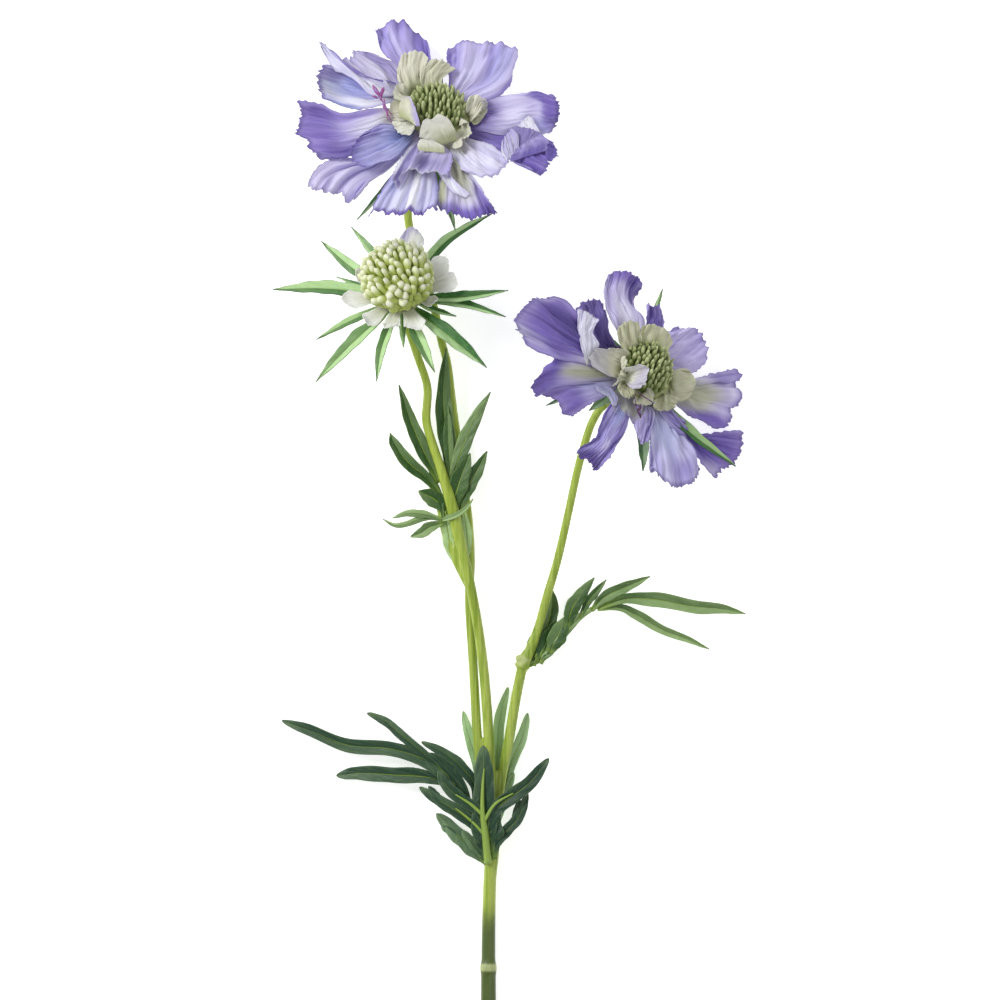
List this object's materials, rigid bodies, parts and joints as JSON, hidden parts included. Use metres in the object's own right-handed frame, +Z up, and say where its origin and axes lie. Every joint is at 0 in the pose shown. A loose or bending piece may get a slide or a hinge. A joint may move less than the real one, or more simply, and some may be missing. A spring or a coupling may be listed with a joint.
{
  "type": "scabiosa cut flower spray",
  "caption": "Cut scabiosa spray lying flat: a forked green stem with open lilac blooms, a budding head and lobed leaves.",
  "frame": {"origin": "middle of the footprint, on the surface that the spray lies on", "axes": "+Y along the spray from the cut end of its stem to the blooms, +X to the right seen from above with the blooms at the top, +Z up off the surface"},
  "size_m": [0.1428, 0.3349, 0.0531],
  "materials": {
    "stem": "satin, smooth green stem, darker at its foot",
    "leaf": "matte blue-green leaf blade",
    "bract": "matte fresh green bract",
    "petal": "soft matte lilac to violet petal",
    "cream": "soft matte cream petal",
    "button": "matte olive-green unopened florets",
    "bud": "waxy pale green unopened florets"
  },
  "bodies": {
    "root": {"stem": "stem", "basal_leaf_left": "leaf", "basal_leaf_front": "leaf", "basal_leaf_low": "leaf", "basal_leaf_back": "leaf", "upper_leaf_left": "leaf", "upper_leaf_right": "leaf", "right_leaf": "leaf", "bloom_1_petals": "petal", "bloom_1_inner_petals": "cream", "bloom_1_button": "button", "bloom_1_bracts": "bract", "bloom_2_petals": "petal", "bloom_2_inner_petals": "cream", "bloom_2_button": "button", "bloom_2_bracts": "bract", "bud_florets": "bud", "bud_rim_petals": "cream", "bud_bracts": "bract"}
  },
  "joints": []
}
